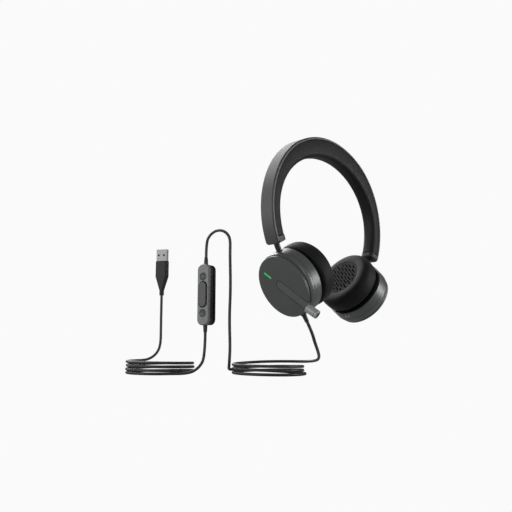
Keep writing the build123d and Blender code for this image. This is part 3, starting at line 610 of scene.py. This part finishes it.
def cutWith(mesh, cutterMesh):
    block = bpy.data.objects.new("block", mesh)
    cutter = bpy.data.objects.new("cutter", cutterMesh)
    for o in (block, cutter):
        bpy.context.scene.collection.objects.link(o)
    cut = block.modifiers.new("cut", "BOOLEAN")
    cut.operation = "DIFFERENCE"
    cut.solver = "EXACT"
    cut.object = cutter
    bpy.context.view_layer.update()
    result = bpy.data.meshes.new_from_object(block.evaluated_get(bpy.context.evaluated_depsgraph_get()))
    bpy.data.objects.remove(block)
    bpy.data.objects.remove(cutter)
    return result


def makeCushion(side):
    place = cupFrame(side)
    body = side + "_cup"
    mesh = turnedMesh(side + "Cushion", cushionOutline(cushionMake), wobble=softWobble)
    mesh.transform(place)
    cushion = addPiece(side + "Cushion", mesh, "cushionLeather", body)
    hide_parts(side + "_cup_cushion")
    top = cushionMake["front"] - cushionMake["dishDepth"]
    r, back = grilleMake["radius"], top - grilleMake["thick"]
    inset, proud = grilleMake["edge"]
    outline = [(0, back), (r, back), (r, top), (r - inset, top + proud)]
    outline += [(r * share, top - sag) for share, sag in grilleMake["sag"]]
    plate = turnedMesh(side + "GrillePlate", outline, grilleMake["segments"])
    cutters, count = slotCutters(grilleMake, top - grilleMake["cutDepth"], top + grilleMake["cutDepth"])
    grille = cutWith(plate, cutters)
    grille.transform(place)
    addPiece(side + "CushionGrille", grille, "grilleLeather", body, smooth=False)
    clothRadius = r - clothMake["inset"]
    low, high = back - clothMake["back"], back - clothMake["front"]
    outline = [(0, low), (clothRadius, low), (clothRadius, high), (0, high)]
    cloth = turnedMesh(side + "SpeakerCloth", outline, clothMake["segments"])
    cloth.transform(place)
    addPiece(side + "SpeakerCloth", cloth, "speakerCloth", body)
    return count


for side in sides:
    print(side, "cushion made with", makeCushion(side), "slots")


# the pad in millimetres: against the shell an arc over the crown and one down each side,
# towards the head a half oval that runs on into an arc at each side
padMake = {
    "sideX": 8.7, "sideZ": -55.8, "outerSide": 69.05,
    "crownDrop": 15.3, "outerCrown": 86.6, "crownEnds": 35.5,
    "innerWide": 67.7, "innerHigh": 55.8, "innerSide": 59.0, "lastAngle": 111.6, "halfWidth": 6.45,
    "hem": ((0.5, 0), (0.1, 0.12), (0, 0.5)), "round": 4.0, "roundShare": 0.6, "roundSteps": 8, "crest": 0.12,
    "crestShare": 0.2, "channel": 3.4, "channelInset": 5.6, "stations": 150, "puff": 0.018, "puffStep": 0.9,
    "puffFrom": 1, "fill": 0.7,
}


# points of the pad on the shell side and on the head side, along one ray
def padStation(make, angle):
    s = 1 if angle >= 0 else -1
    a = radians(abs(angle))
    dx, dz = sin(a), cos(a)
    if abs(angle) > 90:
        ox, reachOut, reachIn = make["sideX"], make["outerSide"], make["innerSide"]
    else:
        ox = 0.0
        joined = make["sideX"] * dx + sqrt(make["outerSide"] ** 2 - (make["sideX"] * dz) ** 2)
        crown = -make["crownDrop"] * dz + sqrt(make["outerCrown"] ** 2 - (make["crownDrop"] * dx) ** 2)
        reachOut = crown if degrees(a) < make["crownEnds"] else joined
        reachIn = 1 / sqrt((dx / make["innerWide"]) ** 2 + (dz / make["innerHigh"]) ** 2)
    outer = Vector((s * (ox + reachOut * dx), 0, make["sideZ"] + reachOut * dz))
    inner = Vector((s * (ox + reachIn * dx), 0, make["sideZ"] + reachIn * dz))
    return outer, inner


# the pad's section at one station: pairs of sideways and inwards from the shell
def padSection(make, deep):
    w, channel = make["halfWidth"], make["channel"]
    corner = min(make["round"], deep * make["roundShare"])
    half = [(channel, 0)] + [(w - inset, d) for inset, d in make["hem"]]
    for k in range(make["roundSteps"] + 1):
        a = pi / 2 * k / make["roundSteps"]
        half.append((w - corner * (1 - cos(a)), deep - corner * (1 - sin(a))))
    half.append((w * make["crestShare"], deep + make["crest"]))
    inset = make["channelInset"]
    return [(-y, d) for y, d in half] + half[::-1] + [(channel, inset), (-channel, inset)]


def makePad(make):
    bm = bmesh.new()
    count = make["stations"]
    rings = []
    for i in range(count + 1):
        angle = -make["lastAngle"] + 2 * make["lastAngle"] * i / count
        outer, inner = padStation(make, angle)
        deep = (inner - outer).length
        down = (inner - outer).normalized()
        puff = make["puff"] * sin(i * make["puffStep"]) / make["halfWidth"]
        ring = []
        for y, d in padSection(make, deep):
            p = outer + down * d
            swell = 1 + (puff if make["puffFrom"] < d < deep - make["puffFrom"] else 0)
            ring.append(bm.verts.new((p.x * mm, y * swell * mm, p.z * mm)))
        rings.append(ring)
    for low, high in zip(rings, rings[1:]):
        joinRings(bm, low, high)
    bm.faces.new(list(reversed(rings[0])))
    bm.faces.new(rings[-1])
    pad = addPiece("headbandPad", meshFrom("headbandPad", bm), "padLeather", "headband")
    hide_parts("headband_pad")


makePad(padMake)
print("headband pad made")


# a fitting's length and its beads' radii in millimetres; the beads run from and to a share of the length
ribMake = {
    "cup": {
        "length": 7.4, "count": 7, "from": 0.30, "to": 0.94, "big": 1.95, "small": 1.75, "round": 0.42,
    },
    "box": {
        "length": 6.6, "count": 5, "from": 0.45, "to": 0.92, "big": 2.0, "small": 1.7, "round": 0.3,
    },
    "around": 28,
    "across": 10,
}


# a row of soft beads along a cord fitting, back from the end where the cord leaves
def makeRibs(name, tip, heading, make, body):
    bm = bmesh.new()
    around, across = ribMake["around"], ribMake["across"]
    wide = tip - heading * (make["length"] * mm)
    turn = heading.to_track_quat("Z", "Y").to_matrix().to_4x4()
    for i in range(make["count"]):
        share = i / (make["count"] - 1)
        t = make["from"] + (make["to"] - make["from"]) * share
        ringRadius = make["big"] + (make["small"] - make["big"]) * share - make["round"]
        at = Matrix.Translation(wide.lerp(tip, t)) @ turn
        loops = []
        for k in range(around):
            a = 2 * pi * k / around
            loop = []
            for n in range(across):
                b = 2 * pi * n / across
                r = ringRadius + make["round"] * cos(b)
                point = Vector((r * cos(a) * mm, r * sin(a) * mm, make["round"] * sin(b) * mm))
                loop.append(bm.verts.new(at @ point))
            loops.append(loop)
        for k in range(around):
            joinRings(bm, loops[k], loops[(k + 1) % around])
    addPiece(name, meshFrom(name, bm), "relief", body)


cordStart = Vector(cordDrop[0])
up = Vector((0, 0, 1))
makeRibs("glandRibs", cordStart, (Vector(cordDrop[1]) - cordStart).normalized(), ribMake["cup"], "mic_cup")
makeRibs("reliefRibsTop", Vector(cordRiser[-1]), up, ribMake["box"], "mic_cup")
makeRibs("reliefRibsLow", Vector(cordLower[0]), -up, ribMake["box"], "mic_cup")
print("fitting ribs made")


# in millimetres: the tail and the end are measured along the boom from the axis that it turns on
seamShadeMake = {
    "halfWidth": 3.85, "line": 0.42, "tail": -2.55, "end": 25.6, "proud": 0.03, "deep": 0.4, "endSteps": 24,
}


# dark line of painted shade where the turning cap meets the stowed boom: a black strip that stands in for the
# shadow in the seam
def makeSeamShade(make):
    heading = Vector(joints["boom_slide"]["axis"]).normalized()
    inward = Vector(joints["boom_turn"]["axis"]).normalized()
    centre = Vector(joints["boom_turn"]["pos_m"])
    across = inward.cross(heading).normalized()
    edge, line, proud, deep = [make[k] for k in ("halfWidth", "line", "proud", "deep")]
    path = [(make["end"], edge, 0, 1)]  # place along and across, then the way out from the boom
    for k in range(make["endSteps"] + 1):
        a = pi / 2 + pi * k / make["endSteps"]
        path.append((make["tail"] + edge * cos(a), edge * sin(a), cos(a), sin(a)))
    path.append((make["end"], -edge, 0, -1))
    bm = bmesh.new()
    rings = []
    for x, y, nx, ny in path:
        ring = []
        for out, depth in ((0, -proud), (line, -proud), (line, deep), (0, deep)):
            point = centre + (heading * (x + nx * out) + across * (y + ny * out) + inward * depth) * mm
            ring.append(bm.verts.new(point))
        rings.append(ring)
    for low, high in zip(rings, rings[1:]):
        joinRings(bm, low, high)
    bm.faces.new(rings[0])
    bm.faces.new(rings[-1])
    # painted shade: the strip takes the near-black groove plastic
    addPiece("boomSeamShade", meshFrom("boomSeamShade", bm), "grooveShadeBlack", "boom_cap", smooth=False)


makeSeamShade(seamShadeMake)
print("boom outline made")


# the floor's size in metres, and greys from 0 to 1
studioMake = {"size": 6.0, "level": 0.955, "floorShade": 0.35, "around": 0.16}


# even and pale where it is seen, and a plain grey for the light it throws back
def makeFloor(make):
    f = newFinish("paleFloor")
    seen = f.node("ShaderNodeLightPath", output="Is Camera Ray")
    bright = f.node("ShaderNodeEmission", None, {"Color": grey(make["level"]), "Strength": 1.0})
    plain = f.node("ShaderNodeBsdfDiffuse", None, {"Color": grey(make["floorShade"])})
    f.show(f.node("ShaderNodeMixShader", None, [seen, plain, bright]))
    half = make["size"] / 2
    mesh = bpy.data.meshes.new("floor")
    corners = [(-half, -half, tableZ), (half, -half, tableZ), (half, half, tableZ), (-half, half, tableZ)]
    mesh.from_pydata(corners, [], [(0, 1, 2, 3)])
    mesh.materials.append(f.owner)
    floor = bpy.data.objects.new("floor", mesh)
    bpy.context.scene.collection.objects.link(floor)


makeFloor(studioMake)

# places and sizes in metres, power in watts
lightMake = {
    "behindTop": {"place": (0.15, 1.25, 0.85), "aim": (-0.05, 0, -0.05), "size": (1.5, 1.1), "power": 26},
    "leftFill": {"place": (-1.05, 0.25, -0.02), "aim": (0, 0, -0.1), "size": (1.0, 0.6), "power": 6.0},
    "front": {"place": (-0.6, -1.0, 0.35), "aim": (0, 0.05, -0.12), "size": (1.0, 0.6), "power": 2.2},
    "rightSide": {"place": (0.8, -0.95, 0.0), "aim": (0.03, 0, -0.12), "size": (0.45, 0.7), "power": 8.0},
}


def makeLights(lights):
    for name, light in lights.items():
        data = bpy.data.lights.new(name, "AREA")
        data.shape = "RECTANGLE"
        data.size, data.size_y = light["size"]
        data.energy = light["power"]
        lamp = bpy.data.objects.new(name, data)
        bpy.context.scene.collection.objects.link(lamp)
        lamp.location = light["place"]
        lamp.rotation_mode = "QUATERNION"
        aim = Vector(light["aim"]) - Vector(light["place"])
        lamp.rotation_quaternion = aim.to_track_quat("-Z", "Y")


# the air round the object: pale where it is seen, and dimmer for the light it gives
def makeWorld(make):
    world = bpy.data.worlds.new("studio")
    bpy.context.scene.world = world
    f = Finish(world, "ShaderNodeOutputWorld")
    seen = f.node("ShaderNodeLightPath", output="Is Camera Ray")
    around = f.node("ShaderNodeBackground", None, {"Color": grey(make["around"])})
    shown = f.node("ShaderNodeBackground", None, {"Color": grey(make["level"])})
    f.show(f.node("ShaderNodeMixShader", None, [seen, around, shown]))


makeLights(lightMake)
makeWorld(studioMake)
bpy.context.scene.view_settings.view_transform = "Standard"
print("floor and lights set")
